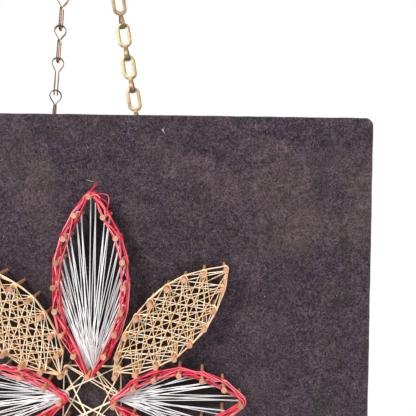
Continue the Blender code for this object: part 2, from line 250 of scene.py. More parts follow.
class Nodes:
    """A node tree with short ways to add and join its nodes."""

    def __init__(self, tree: bpy.types.NodeTree) -> None:
        """Keep the tree that the nodes go into."""
        self.tree = tree

    def fill(self, node: bpy.types.Node, feeds: dict[str | int, object]) -> None:
        """Join outputs to a node's inputs, or set the inputs to constants.

        Args:
            node: The node.
            feeds: An output socket or a constant for each input's name or number.
        """
        for key, value in feeds.items():
            if isinstance(value, Socket):
                self.tree.links.new(value, node.inputs[key])
            else:
                node.inputs[key].default_value = value

    def add(self, kind: str, feeds: dict[str | int, object] | None = None,
            **settings: object) -> bpy.types.Node:
        """Add a node.

        Args:
            kind: The node's type name, such as ShaderNodeTexNoise.
            feeds: What goes into its inputs.
            **settings: Its property values.

        Returns:
            The node.
        """
        node = self.tree.nodes.new(kind)
        for key, value in settings.items():
            setattr(node, key, value)
        self.fill(node, feeds or {})
        return node

    def place(self) -> Socket:
        """The Object coordinates."""
        return self.add("ShaderNodeTexCoord").outputs["Object"]

    def attribute(self, name: str, output: str = "Fac") -> Socket:
        """An attribute that the mesh carries."""
        return self.add("ShaderNodeAttribute", attribute_name=name).outputs[output]

    def shared(self, group: str, **feeds: float) -> bpy.types.Node:
        """A shared group's node, its inputs named with _ for spaces."""
        named = {key.replace("_", " "): value for key, value in feeds.items()}
        return self.add("ShaderNodeGroup", node_tree=bpy.data.node_groups[group], feeds=named)

    def noise(self, where: Socket, size: object, detail: float = 2.0, rough: float = 0.5,
              warp: float = 0.0) -> Socket:
        """Cloudy noise of a feature size in metres.

        Args:
            where: The coordinates.
            size: About how far apart its blobs are.
            detail: How many finer octaves it has.
            rough: How strong the finer octaves are.
            warp: How much it is stirred.

        Returns:
            The noise value.
        """
        scale = self.maths("DIVIDE", 1.0, size) if isinstance(size, Socket) else 1.0 / size
        return self.add("ShaderNodeTexNoise", {"Vector": where, "Scale": scale, "Detail": detail,
                                               "Roughness": rough, "Distortion": warp}).outputs["Fac"]

    def maths(self, operation: str, first: object, second: object = 0.0) -> Socket:
        """One arithmetic step on two values, each a number or an output."""
        return self.add("ShaderNodeMath", {0: first, 1: second}, operation=operation).outputs[0]

    def spread(self, value: object, low: float, high: float, to_low: float = 0.0,
               to_high: float = 1.0) -> Socket:
        """Stretch the range low to high of a value to another range, and hold it there."""
        limits = (value, low, high, to_low, to_high)
        return self.add("ShaderNodeMapRange", dict(enumerate(limits))).outputs[0]

    def mix(self, share: object, first: object, second: object) -> Socket:
        """Mix two colours.

        Args:
            share: How much of the second colour.
            first: The first colour.
            second: The second colour.

        Returns:
            The mixed colour.
        """
        first, second = [(*colour, 1.0) if isinstance(colour, tuple) else colour
                         for colour in (first, second)]
        feeds = {"Factor": share, 6: first, 7: second}
        return self.add("ShaderNodeMix", feeds, data_type="RGBA").outputs[2]

    def keep(self, geometry: Socket, name: str, value: Socket, domain: str, kind: str = "FLOAT") -> Socket:
        """Store an attribute on a geometry's points or curves, and pass the geometry on."""
        feeds = {"Geometry": geometry, "Name": name, "Value": value}
        return self.add("GeometryNodeStoreNamedAttribute", feeds, domain=domain, data_type=kind).outputs[0]

    def bump(self, shader: bpy.types.Node, height: Socket, depth: float, strength: float) -> None:
        """Raise a shader's surface by a height, so that a height of 1 stands up by the depth."""
        node = self.add("ShaderNodeBump", {"Strength": strength, "Distance": depth, "Height": height})
        self.fill(shader, {"Normal": node.outputs["Normal"]})


def new_group(name: str, inputs: dict[str, float], outputs: Sequence[str]) -> Nodes:
    """Start a shader node group with named float sockets.

    Args:
        name: The group's name.
        inputs: Each input's name and default value.
        outputs: The outputs' names.

    Returns:
        The group's nodes.
    """
    tree = bpy.data.node_groups.new(name, "ShaderNodeTree")
    for label, value in inputs.items():
        socket = tree.interface.new_socket(label, in_out="INPUT", socket_type="NodeSocketFloat")
        socket.default_value = value
    for label in outputs:
        tree.interface.new_socket(label, in_out="OUTPUT", socket_type="NodeSocketFloat")
    return Nodes(tree)


def mottle_group() -> None:
    """Make the uneven wear that felt, metal and wood share: a broad cloud, a fine one and a height."""
    nodes = new_group(MOTTLE, {"Broad Size": 0.04, "Fine Size": 0.002, "Fibre": 0.5},
                      ("Broad", "Fine", "Height"))
    given = nodes.add("NodeGroupInput").outputs
    where = nodes.place()
    broad = nodes.noise(where, given["Broad Size"], 3.0, 0.6)
    fine = nodes.noise(where, given["Fine Size"], 4.0, 0.6)
    height = nodes.maths("ADD", nodes.maths("MULTIPLY", fine, given["Fibre"]),
                         nodes.maths("MULTIPLY", broad, 0.3))
    nodes.add("NodeGroupOutput", {"Broad": broad, "Fine": fine, "Height": height})


def twist_group() -> None:
    """Make the two plies of a wound thread, from the attributes that its mesh carries.

    The group gives the plies' height, a random value for each strand and a cloud along the strand, which
    the thread finish turns into painted shade and painted highlights.
    """
    nodes = new_group(TWIST, {"Pitch": 0.0011}, ("Height", "Strand", "Along"))
    given = nodes.add("NodeGroupInput").outputs
    along, strand = nodes.attribute("along"), nodes.attribute("strand")
    around = nodes.add("ShaderNodeSeparateXYZ", {0: nodes.attribute("around", "Vector")}).outputs
    heading = nodes.maths("ARCTAN2", around["Y"], around["X"])
    turns = nodes.maths("MULTIPLY", nodes.maths("DIVIDE", along, given["Pitch"]), math.tau)
    wave = nodes.maths("SINE", nodes.maths("ADD", turns, nodes.maths("MULTIPLY", heading, 2.0)))
    place = nodes.add("ShaderNodeCombineXYZ", {"X": along, "Y": nodes.maths("MULTIPLY", strand, 3.0)})
    nodes.add("NodeGroupOutput", {"Height": nodes.maths("ABSOLUTE", wave), "Strand": strand,
                                  "Along": nodes.noise(place.outputs[0], 6 * MM, 1.0)})


# ---------------------------------------------------------------- finishes

@dataclass(frozen=True)
class Finish:
    """What every finish has: a name, and a way to lay it on a material."""

    name: str

    def make(self) -> bpy.types.Material:
        """Build the material.

        Returns:
            The finished material.
        """
        material = bpy.data.materials.new(self.name)
        material.use_nodes = True
        self.lay(Nodes(material.node_tree), material.node_tree.nodes["Principled BSDF"])
        return material

    def lay(self, nodes: Nodes, shader: bpy.types.Node) -> None:
        """Feed the material's shader; each finish does it its own way."""
        raise NotImplementedError


@dataclass(frozen=True)
class FeltFinish(Finish):
    """Charcoal wool felt, brushed, a little faded and linty."""

    dark: Colour = (0.0106, 0.0048, 0.0114)
    middle: Colour = (0.0273, 0.0157, 0.0265)
    pale: Colour = (0.0686, 0.0496, 0.0604)
    olive: Colour = (0.0242, 0.0191, 0.0188)
    faded: Colour = (0.0590, 0.0400, 0.0400)
    fibre_width: float = 0.50 * MM
    fibre_shape: float = 0.28
    headings: tuple[float, ...] = (9.0, 41.0, 78.0, 112.0, 151.0)

    def lay(self, nodes: Nodes, shader: bpy.types.Node) -> None:
        """Mix the dyes by broad, middling and fine clouds, with pale fibres on top, and darken the felt
        under and around the windings as painted shade.

        Args:
            nodes: The material's nodes.
            shader: Its shader node.
        """
        wear = nodes.shared(MOTTLE, Broad_Size=0.055, Fine_Size=0.0021, Fibre=1.0).outputs
        where = nodes.place()
        fibre = self.fibres(nodes, where)
        blotch = nodes.noise(where, 7.0 * MM, 3.0, 0.6, 0.5)
        hue = nodes.noise(where, 16.0 * MM, 3.0, 0.7)
        colour = nodes.mix(nodes.spread(wear["Fine"], 0.30, 0.58), self.dark, self.middle)
        for value, low, high, most, dye in ((hue, 0.46, 0.62, 0.75, self.olive),
                                            (wear["Broad"], 0.48, 0.66, 0.75, self.faded),
                                            (fibre, 0.60, 0.80, 0.85, self.pale)):
            colour = nodes.mix(nodes.spread(value, low, high, 0.0, most), colour, dye)
        shade = nodes.spread(blotch, 0.32, 0.66, 0.62, 1.18)
        for value, low, high, at_low, at_high in ((fibre, 0.48, 0.70, 0.30, 1.86),
                                                  (hue, 0.36, 0.62, 0.99, 0.90),
                                                  # painted shade: the felt under and around the windings
                                                  # darkens to 0.14 of its tone
                                                  (nodes.attribute("painted_winding_shade"), 0.0, 1.0, 1.0, 0.14)):
            shade = nodes.maths("MULTIPLY", shade, nodes.spread(value, low, high, at_low, at_high))
        tint = nodes.add("ShaderNodeVectorMath", {0: colour, "Scale": shade}, operation="SCALE")
        nodes.fill(shader, {"Base Color": tint.outputs[0], "Roughness": 0.96, "Specular IOR Level": 0.15,
                            "Sheen Weight": 0.12, "Sheen Roughness": 0.6})
        height = nodes.maths("ADD", nodes.maths("MULTIPLY", wear["Height"], 0.6), fibre)
        nodes.bump(shader, height, 0.35 * MM, 0.8)

    def fibres(self, nodes: Nodes, where: Socket) -> Socket:
        """Short matted fibres that lie in every direction.

        Args:
            nodes: The material's nodes.
            where: The coordinates.

        Returns:
            How much fibre lies on top.
        """
        laid: Socket | None = None
        for heading in self.headings:
            comb = nodes.add("ShaderNodeMapping", {
                "Vector": where, "Rotation": (0.0, math.radians(heading), 0.0),
                "Scale": (1.0, 1.0, 1.0 / self.fibre_shape), "Location": (heading, 0.0, heading),
            }, vector_type="TEXTURE")
            strands = nodes.noise(comb.outputs[0], self.fibre_width, 1.0, 0.5, 0.3)
            laid = strands if laid is None else nodes.maths("MAXIMUM", laid, strands)
        return laid


@dataclass(frozen=True)
class ThreadFinish(Finish):
    """A shiny two-ply embroidery thread."""

    # painted shade colour: the grooves between the plies and the dimmed strands
    shade_colour: Colour
    body: Colour
    # painted highlight colour, on random strands and in patches along them
    light: Colour
    roughness: float = 0.38
    sheen: float = 0.1
    contrast: float = 0.5
    specular: float = 0.5

    def lay(self, nodes: Nodes, shader: bpy.types.Node) -> None:
        """Paint shade between the plies, paint highlights and shade on whole strands, and paint highlights
        on parts of them.

        Args:
            nodes: The material's nodes.
            shader: Its shader node.
        """
        ply = nodes.shared(TWIST).outputs
        # painted shade in the grooves between the plies
        colour = nodes.mix(nodes.spread(ply["Height"], 0.0, 0.55, 0.35, 1.0), self.shade_colour, self.body)
        # painted highlight in patches along the strand
        painted_sheen = nodes.maths("MULTIPLY", nodes.spread(ply["Along"], 0.50, 0.75), 0.4)
        # painted highlight on random strands
        own = nodes.maths("MULTIPLY", nodes.spread(ply["Strand"], 0.62, 1.0), self.contrast)
        colour = nodes.mix(nodes.maths("MAXIMUM", painted_sheen, own), colour, self.light)
        # painted shade on other random strands
        dim = nodes.spread(ply["Strand"], 0.0, 0.45, self.contrast, 0.0)
        roughness = nodes.spread(ply["Along"], 0.3, 0.7, self.roughness - 0.08, self.roughness + 0.1)
        nodes.fill(shader, {"Base Color": nodes.mix(dim, colour, self.shade_colour), "Roughness": roughness,
                            "Specular IOR Level": self.specular, "Sheen Weight": self.sheen,
                            "Sheen Roughness": 0.35})
        nodes.bump(shader, ply["Height"], 0.07 * MM, 0.8)


@dataclass(frozen=True)
class MetalFinish(Finish):
    """A tarnished metal with uneven wear."""

    bright: Colour
    body: Colour
    stain: Colour
    marked_colour: Colour
    metallic: float
    broad: float
    fine: float
    roughness: float = 0.45

    def lay(self, nodes: Nodes, shader: bpy.types.Node) -> None:
        """Mix bright, plain and stained metal, and the marked colour on the faces marked for it: on the
        nails' shanks a copper-brown brightened as painted light, on the chain a darker brown.

        Args:
            nodes: The material's nodes.
            shader: Its shader node.
        """
        wear = nodes.shared(MOTTLE, Broad_Size=self.broad, Fine_Size=self.fine).outputs
        colour = nodes.mix(nodes.spread(wear["Fine"], 0.35, 0.65), self.body, self.bright)
        colour = nodes.mix(nodes.spread(wear["Broad"], 0.50, 0.68, 0.0, 0.8), colour, self.stain)
        # the marked colour: a real copper-brown brightened as painted light on the nails' shanks, a darker
        # brown on the chain's cut edges and bridge
        colour = nodes.mix(nodes.maths("MULTIPLY", nodes.attribute("marked_share"), 0.85), colour, self.marked_colour)
        roughness = nodes.spread(wear["Fine"], 0.3, 0.7, self.roughness - 0.1, self.roughness + 0.15)
        nodes.fill(shader, {"Base Color": colour, "Roughness": roughness, "Metallic": self.metallic})
        nodes.bump(shader, wear["Height"], 0.05 * MM, 0.15)


@dataclass(frozen=True)
class PlywoodFinish(Finish):
    """Bare plywood with its long grain up the board."""

    pale: Colour = (0.62, 0.44, 0.27)
    dark: Colour = (0.36, 0.22, 0.11)

    def lay(self, nodes: Nodes, shader: bpy.types.Node) -> None:
        """Draw the grain and the broader figure out along the board.

        Args:
            nodes: The material's nodes.
            shader: Its shader node.
        """
        wear = nodes.shared(MOTTLE, Broad_Size=0.12, Fine_Size=0.0015).outputs
        drawn_out = {"Vector": nodes.place(), "Scale": (1.0, 1.0, 0.06)}
        along = nodes.add("ShaderNodeMapping", drawn_out).outputs[0]
        grain = nodes.noise(along, 2.2 * MM, 4.0, 0.65, 0.4)
        figure = nodes.noise(along, 14.0 * MM, 2.0, 0.5, 1.2)
        share = nodes.maths("MULTIPLY", nodes.spread(grain, 0.38, 0.64), 0.65)
        share = nodes.maths("ADD", share, nodes.spread(figure, 0.4, 0.65, 0.0, 0.35))
        nodes.fill(shader, {"Base Color": nodes.mix(share, self.pale, self.dark),
                            "Roughness": nodes.spread(wear["Fine"], 0.3, 0.7, 0.6, 0.8)})
        nodes.bump(shader, grain, 0.2 * MM, 0.5)


@dataclass(frozen=True)
class FloorFinish(Finish):
    """A pale, nearly plain floor that fades out at its rim."""

    def lay(self, nodes: Nodes, shader: bpy.types.Node) -> None:
        """Cloud the floor faintly and fade it with the distance from its middle.

        Args:
            nodes: The material's nodes.
            shader: Its shader node.
        """
        where = nodes.place()
        colour = nodes.mix(nodes.noise(where, 0.3, 2.0), (0.86, 0.86, 0.86), (0.90, 0.90, 0.89))
        away = nodes.add("ShaderNodeVectorMath", {0: where}, operation="LENGTH").outputs["Value"]
        nodes.fill(shader, {"Base Color": colour, "Roughness": 0.9,
                            "Alpha": nodes.spread(away, 1.1, 2.0, 1.0, 0.0)})


def make_finishes() -> Finishes:
    """Build the shared groups and every finish once.

    Returns:
        The material of each slot, and the lint's under None, because it has no slot.
    """
    mottle_group()
    twist_group()
    looks = {
        Slot.FELT: FeltFinish("charcoal_felt"),
        # each thread's and the lint's colours: painted shade, body, painted highlight
        Slot.RED: ThreadFinish("crimson_thread", (0.30, 0.002, 0.014), (0.92, 0.023, 0.082),
                               (0.96, 0.48, 0.49), sheen=0.0, contrast=0.85, specular=0.3),
        Slot.CREAM: ThreadFinish("cream_thread", (0.72, 0.34, 0.10), (1.0, 0.81, 0.50),
                                 (1.0, 1.0, 1.0), 0.34, contrast=0.72, specular=0.8),
        Slot.WHITE: ThreadFinish("white_thread", (0.42, 0.40, 0.42), (0.84, 0.83, 0.84),
                                 (1.0, 1.0, 1.0), 0.3, 0.3, specular=0.7),
        # the nails' fourth colour, for the shanks, is a real copper-brown brightened as painted light
        Slot.NAILS: MetalFinish("coppered_nail", (0.60, 0.335, 0.215), (0.50, 0.26, 0.155),
                                (0.30, 0.13, 0.065), (0.74, 0.36, 0.15), 0.2, 0.006, 0.0012),
        Slot.BRASS: MetalFinish("antique_brass", (0.51, 0.375, 0.19), (0.34, 0.23, 0.12),
                                (0.23, 0.14, 0.09), (0.145, 0.086, 0.054), 0.75, 0.012, 0.0022),
        Slot.WOOD: PlywoodFinish("bare_plywood"),
        None: ThreadFinish("pale_lint", (0.45, 0.42, 0.40), (0.75, 0.72, 0.68), (0.9, 0.88, 0.85), 0.8),
    }
    return {slot: look.make() for slot, look in looks.items()}


# ---------------------------------------------------------------- the motif's nails and thread

@dataclass(frozen=True)
class Nail:
    """One nail: where it enters the felt, across and up, and how it leans."""

    foot: Vector
    lean: Vector

    def at(self, height: float) -> Vector:
        """Where its middle is at a height above the felt, across and up."""
        return self.foot + self.lean * height

    def placed(self) -> Matrix:
        """Where a copy of the modelled nail goes.

        Returns:
            The copy's matrix, turned so that the nail leans.
        """
        tilt = Vector((self.lean.x, -1.0, self.lean.y)).normalized()
        turn = Vector((0.0, -1.0, 0.0)).rotation_difference(tilt)
        return Matrix.Translation((self.foot.x, FACE, self.foot.y)) @ turn.to_matrix().to_4x4()


@dataclass(frozen=True)
class Lens:
    """A pointed oval of nails between two tips on one axis through the motif's middle.

    It repeats the frame's own layout, so that the thread meets the same nails.
    """

    name: str
    degrees: float
    inner: float
    outer: float
    half_width: float
    spaces: int

    @property
    def axis(self) -> Vector:
        """The way from the motif's middle to the outer tip."""
        return Vector((math.cos(math.radians(self.degrees)), math.sin(math.radians(self.degrees))))

    @property
    def half_length(self) -> float:
        """Half the way from tip to tip."""
        return (self.outer - self.inner) / 2

    @property
    def radius(self) -> float:
        """The radius of the arc on each side."""
        return (self.half_length ** 2 + self.half_width ** 2) / (2 * self.half_width)

    def point(self, step: int, side: int) -> Vector:
        """A nail's place.

        Args:
            step: How many spaces along from the inner tip.
            side: 1 for the left side seen from the middle, -1 for the right.

        Returns:
            The place across and up.
        """
        angle = math.asin(self.half_length / self.radius) * (2 * step / self.spaces - 1)
        along = (self.inner + self.outer) / 2 + self.radius * math.sin(angle)
        out = self.radius * math.cos(angle) - (self.radius - self.half_width)
        across = Vector((-self.axis.y, self.axis.x))
        return MIDDLE + self.axis * along + across * (side * out)

    def clearance(self, place: Vector) -> float:
        """About how far a place on the face lies outside the oval, negative inside it.

        Args:
            place: The place across and up.

        Returns:
            The distance.
        """
        local = place - MIDDLE - self.axis * ((self.inner + self.outer) / 2)
        across = abs(local.cross(self.axis))
        return math.hypot(local.dot(self.axis), across + self.radius - self.half_width) - self.radius

    def steps(self) -> list[tuple[int, int]]:
        """Step and side of every nail once, up the left side and back down the right."""
        left = [(step, 1) for step in range(self.spaces + 1)]
        return left + [(step, -1) for step in range(self.spaces - 1, 0, -1)]


@dataclass(frozen=True)
class Turn:
    """Where a thread passes a nail: its height, its distance from the nail's middle, and the side.

    The side is 1 for left, -1 for right and 0 for the outside of the bend.
    """

    nail: Nail
    height: float
    reach: float
    side: int = 0


@dataclass
class Thread:
    """A continuous thread on its nails, as a chain of straight runs and turns."""

    rng: random.Random
    end_bend: float = math.radians(140.0)
    turn_step: float = math.radians(28.0)
    slight_bend: float = 0.1

    def place(self, flat: Vector, height: float) -> Vector:
        """A point of the thread from its place on the face and its height above the felt."""
        return Vector((flat.x, FACE - height, flat.y))

    def run(self, turns: Sequence[Turn], slack: float) -> Line:
        """Lead the thread round a row of nails.

        Args:
            turns: How it passes each nail.
            slack: How far its straight runs wander.

        Returns:
            The thread's middle line.
        """
        line: Line = []
        centres = [turn.nail.at(turn.height) for turn in turns]
        ways = [(after - here).normalized() for here, after in zip(centres, centres[1:])]
        swing = Matrix.Rotation(self.end_bend, 2)
        ways = [swing @ ways[0], *ways, swing @ ways[-1]]
        for turn, here, into, out in zip(turns, centres, ways, ways[1:]):
            cross = into.x * out.y - into.y * out.x
            outside = -1 if cross > 0 else 1
            side = turn.side or outside
            start = Vector((-into.y, into.x)) * side
            end = Vector((-out.y, out.x)) * side
            bend = math.atan2(cross, into.dot(out))
            stops = max(1, math.ceil(abs(bend) / self.turn_step))
            if side != outside or abs(bend) < self.slight_bend:
                flats = [here + (start + end).normalized() * turn.reach]
            else:
                heading = math.atan2(start.y, start.x)
                angles = [heading + bend * stop / stops for stop in range(stops + 1)]
                flats = [here + turn.reach * Vector((math.cos(angle), math.sin(angle)))
                         for angle in angles]
            if line:
                self.ease(line, self.place(flats[0], turn.height), slack)
            line += [self.place(flat, turn.height) for flat in flats]
        return line

    def ease(self, line: Line, target: Vector, slack: float) -> None:
        """Let a straight run wander a little at two places.

        Args:
            line: The thread so far, which gets the two places.
            target: Where the run ends.
            slack: How far it wanders.
        """
        start = line[-1]
        for share in (0.33, 0.68):
            wander = Vector((self.rng.gauss(0, 1), self.rng.gauss(0, 0.8), self.rng.gauss(0, 1)))
            line.append(start.lerp(target, share) + wander * slack)


def thread_tree() -> bpy.types.NodeTree:
    """Make the node group that lays a round thread along drawn lines.

    The mesh carries how far along, which way round and which strand each point is.

    Returns:
        A geometry node group with a Radius input.
    """
    tree = bpy.data.node_groups.new("lay_thread", "GeometryNodeTree")
    for label, way, kind in (("Geometry", "INPUT", "NodeSocketGeometry"),
                             ("Radius", "INPUT", "NodeSocketFloat"),
                             ("Geometry", "OUTPUT", "NodeSocketGeometry")):
        tree.interface.new_socket(label, in_out=way, socket_type=kind)
    nodes = Nodes(tree)
    given = nodes.add("NodeGroupInput").outputs
    number = nodes.add("GeometryNodeInputIndex").outputs[0]
    shade = nodes.add("FunctionNodeRandomValue", {"ID": number, "Seed": 7}, data_type="FLOAT").outputs[1]
    length = nodes.add("GeometryNodeSplineParameter").outputs["Length"]
    line = nodes.keep(given["Geometry"], "along", length, "POINT")
    line = nodes.keep(line, "strand", shade, "CURVE")
    size = {"Resolution": 6, "Radius": given["Radius"]}
    ring = nodes.add("GeometryNodeCurvePrimitiveCircle", size, mode="RADIUS").outputs["Curve"]
    spot = nodes.add("GeometryNodeInputPosition").outputs[0]
    ring = nodes.keep(ring, "around", spot, "POINT", "FLOAT_VECTOR")
    sweep = nodes.add("GeometryNodeCurveToMesh", {"Curve": line, "Profile Curve": ring, "Fill Caps": True})
    nodes.add("NodeGroupOutput", {0: sweep.outputs["Mesh"]})
    return tree


def lay_threads(name: str, lines: Sequence[Line], radius: float) -> Thing:
    """Draw lines as one curve and lay a round thread along each.

    Args:
        name: The piece's name.
        lines: The threads' middle lines.
        radius: The thread's radius.

    Returns:
        The mesh piece.
    """
    data = bpy.data.curves.new(name, "CURVE")
    data.dimensions = "3D"
    for line in lines:
        spline = data.splines.new("POLY")
        spline.points.add(len(line) - 1)
        for point, place in zip(spline.points, line):
            point.co = (*place, 1.0)
    thing = bpy.data.objects.new(name, data)
    bpy.context.scene.collection.objects.link(thing)
    modifier = thing.modifiers.new("lay", "NODES")
    modifier.node_group = bpy.data.node_groups.get("lay_thread") or thread_tree()
    modifier["Socket_1"] = radius
    take(thing)
    bpy.ops.object.convert(target="MESH")
    thing = bpy.context.object
    thing.data.polygons.foreach_set("use_smooth", [True] * len(thing.data.polygons))
    return settle(thing, name)


# ---------------------------------------------------------------- nails and windings

@dataclass
class NailPattern:
    """The flat-headed panel pin that every nail is a copy of, and how it is driven."""

    length: float = 25.0 * MM
    proud: float = 18.0 * MM
    head_radius: float = 1.52 * MM
    head_thick: float = 0.6 * MM
    shank_radius: float = 0.82 * MM
    point: float = 1.5 * MM
    point_share: float = 0.2
    edge_share: float = 0.88
    rim: float = 0.45 * MM
    dish: float = 0.35 * MM
    dish_depth: float = 0.06 * MM
    sides: int = 12
    lean: float = 0.022

    def model(self) -> Thing:
        """Model one nail, its foot on the felt at the origin and its head towards the front.

        Returns:
            The nail.
        """
        take()
        bpy.ops.mesh.primitive_cylinder_add(vertices=self.sides, radius=self.shank_radius,
                                            depth=self.length - self.head_thick,
                                            rotation=(math.pi / 2, 0.0, 0.0))
        pin = bpy.context.object
        pin.location.y = self.length / 2 + self.head_thick / 2 - self.proud
        settle(pin, "nail_model")
        edit(pin)
        front = self.head_thick - self.proud
        select(Part.FACES, lambda centre, normal: normal.y < -0.9)
        self.extrude(0.0)
        self.widen(self.head_radius / self.shank_radius, front)
        self.extrude(0.7 * self.head_thick)
        self.extrude(0.3 * self.head_thick)
        self.widen(self.edge_share, front - self.head_thick)
        bpy.ops.mesh.inset(thickness=self.rim)
        bpy.ops.mesh.inset(thickness=self.dish, depth=-self.dish_depth)
        select(Part.FACES, lambda centre, normal: normal.y > 0.9 and centre.y > 0)
        self.extrude(-self.point)
        self.widen(self.point_share, self.length - self.proud + self.point)
        close_edit()
        smooth(pin, 40.0)
        # painted light: the shank takes the marked colour, a copper-brown brightened to stand in for the
        # light the threads keep off it
        mark_share(pin, lambda centre, normal: centre.y > front)
        return pin

    def widen(self, factor: float, where: float) -> None:
        """Scale the selected ring, at its place along the nail, about the nail's middle line."""
        bpy.ops.transform.resize(value=(factor, 1.0, factor), center_override=(0.0, where, 0.0))

    def extrude(self, rise: float) -> None:
        """Extrude the selected face towards the front by a distance."""
        bpy.ops.mesh.extrude_region_move(TRANSFORM_OT_translate={"value": (0.0, -rise, 0.0)})


@dataclass
class Motif:
    """The flower of red petals, white fans and cream leaves round a cream star.

    The fields upper, white and star are the heights above the felt that the windings lie between,
    and loose, eased, starred and taut are how far their straight runs wander.
    """

    finishes: Finishes
    pattern: NailPattern = field(default_factory=NailPattern)
    upper: tuple[float, float] = (11.2 * MM, 13.8 * MM)
    white: tuple[float, float] = (8.0 * MM, 9.6 * MM)
    star: tuple[float, float] = (6.4 * MM, 7.6 * MM)
    red_radius: float = 0.265 * MM
    fine_radius: float = 0.238 * MM
    red_passes: int = 15
    red_scatter: float = 0.4 * MM
    crossing: float = 0.3
    outer_layers: float = 4.2
    inner_layers: tuple[float, ...] = (0.0, 1.0, 1.8)
    fan_trips: int = 3
    first_fanned: int = 3
    tip_layer: float = 0.45
    rim_rounds: int = 3
    layer_step: float = 1.75
    loose: float = 0.09 * MM
    eased: float = 0.05 * MM
    starred: float = 0.04 * MM
    taut: float = 0.02 * MM
    frayed: str = "n"
    petals: tuple[Lens, ...] = (Lens("n", 90.0, 14.0 * MM, 108.0 * MM, 18.0 * MM, 8),
                                Lens("e", 0.0, 14.0 * MM, 80.0 * MM, 15.0 * MM, 6),
                                Lens("s", 270.0, 14.0 * MM, 108.0 * MM, 18.0 * MM, 8),
                                Lens("w", 180.0, 14.0 * MM, 80.0 * MM, 15.0 * MM, 6))
    leaves: tuple[Lens, ...] = tuple(
        Lens(name, degrees, 20.0 * MM, 100.0 * MM, 15.0 * MM, 8)
        for name, degrees in (("ne", 45.0), ("nw", 135.0), ("sw", 225.0), ("se", 315.0)))

    def __post_init__(self) -> None:
        """Drive the nails, each with its own small lean."""
        self.rng = random.Random(41)
        self.thread = Thread(self.rng)
        self.nails = {(lens.name, *step): Nail(lens.point(*step), self.jitter(2 * self.pattern.lean))
                      for lens in self.petals + self.leaves for step in lens.steps()}

    def jitter(self, size: float) -> Vector:
        """A small random step across and up."""
        return Vector((self.rng.gauss(0, size / 2), self.rng.gauss(0, size / 2)))

    def nail(self, lens: Lens, step: int, side: int) -> Nail:
        """The nail at one place of a lens; its two tips have one nail each."""
        return self.nails[(lens.name, step, 1 if step in (0, lens.spaces) else side)]

    def reach(self, layer: float) -> float:
        """How far a thread lies from a nail's middle, with some layers of thread under it."""
        return self.pattern.shank_radius + self.red_radius * (1.0 + self.layer_step * layer)

    def turn(self, nail: Nail, level: float, scatter: float, layers: float) -> Turn:
        """Pass a nail on the outside, about at a level and over up to so many layers of thread."""
        height = level + self.rng.gauss(0, scatter)
        return Turn(nail, height, self.reach(self.rng.uniform(0.0, layers)))

    def build(self) -> list[Thing]:
        """Build every winding and its nails.

        Returns:
            The pieces.
        """
        model = self.pattern.model()
        made = []
        for lens in self.petals:
            made += [self.red_band(lens), self.white_fan(lens), self.nail_row(model, lens, "nails_petal_")]
        for lens in self.leaves:
            made += [self.cream_net(lens), self.nail_row(model, lens, "nails_leaf_")]
        made.append(self.hub_star())
        bpy.data.objects.remove(model)
        return made

    def nail_row(self, model: Thing, lens: Lens, prefix: str) -> Thing:
        """Copy the modelled nail to every place of a lens, as one piece."""
        places = [self.nail(lens, *step).placed() for step in lens.steps()]
        return declare(copies(model, places, prefix + lens.name), self.finishes, Slot.NAILS)

    def winding(self, name: str, lines: Sequence[Line], slot: Slot, node: str) -> Thing:
        radius = self.red_radius if slot is Slot.RED else self.fine_radius
        return declare(lay_threads(name, lines, radius), self.finishes, slot, node)

    def red_band(self, lens: Lens) -> Thing:
        """Wind the band round a petal's nails, to and fro on both sides of them.

        Args:
            lens: The petal.

        Returns:
            The band.
        """
        steps = lens.steps()
        lines = []
        for number in range(self.red_passes):
            share = (number + 0.5) / self.red_passes
            level = self.upper[0] + (self.upper[1] - self.upper[0]) * share
            turns = []
            outside = number % 3 > 0
            for step in steps + steps[:2]:
                if self.rng.random() < self.crossing:
                    outside = not outside
                layer = (self.rng.uniform(0.0, self.outer_layers) if outside
                         else self.rng.choice(self.inner_layers))
                height = level + self.rng.gauss(0, self.red_scatter)
                side = 0 if step[0] in (0, lens.spaces) else (1 if outside else -1)
                turns.append(Turn(self.nail(lens, *step), height, self.reach(layer), side))
            lines.append(self.thread.run(turns, self.loose))
        if lens.name == self.frayed:
            lines += self.fray(lens)
        return self.winding("red_band_" + lens.name, lines, Slot.RED, "red_petal_" + lens.name)

    def fray(self, lens: Lens) -> list[Line]:
        """Loosened loops and cut ends at a petal's outer tip.

        Args:
            lens: The petal.

        Returns:
            The loose threads' middle lines.
        """
        tip, before = self.nail(lens, lens.spaces, 1), self.nail(lens, lens.spaces - 1, -1)
        lines = []
        loops, loop_steps, loop_rise, end_step = 5, 10, 0.8 * MM, 0.85 * MM
        for _ in range(loops):
            level = self.upper[1] - self.rng.uniform(0.2, 1.2) * MM
            ends = [nail.at(level) + self.jitter(0.7 * MM) for nail in (before, tip)]
            bulge = Vector((lens.axis.y, -lens.axis.x)) + lens.axis * self.rng.uniform(0.2, 1.1)
            bulge *= self.rng.uniform(2.5, 6.0) * MM
            line = []
            for step in range(loop_steps + 1):
                rise = math.sin(math.pi * step / loop_steps)
                flat = ends[0].lerp(ends[1], step / loop_steps) + bulge * rise + self.jitter(0.12 * MM)
                line.append(self.thread.place(flat, level + loop_rise * rise))
            lines.append(line)
        for nail, steps in ((tip, 8), (tip, 6), (tip, 10), (tip, 7), (before, 11)):
            heading = math.radians(lens.degrees) + self.rng.uniform(-1.3, 0.5)
            bend = self.rng.gauss(0, 0.3)
            flat = nail.at(self.upper[1]) + self.jitter(0.8 * MM)
            line = [self.thread.place(flat, self.upper[1])]
            for _ in range(steps):
                heading += bend
                along = Vector((math.cos(heading), self.rng.gauss(0, 0.2), math.sin(heading)))
                line.append(line[-1] + along * end_step)
            lines.append(line)
        return lines

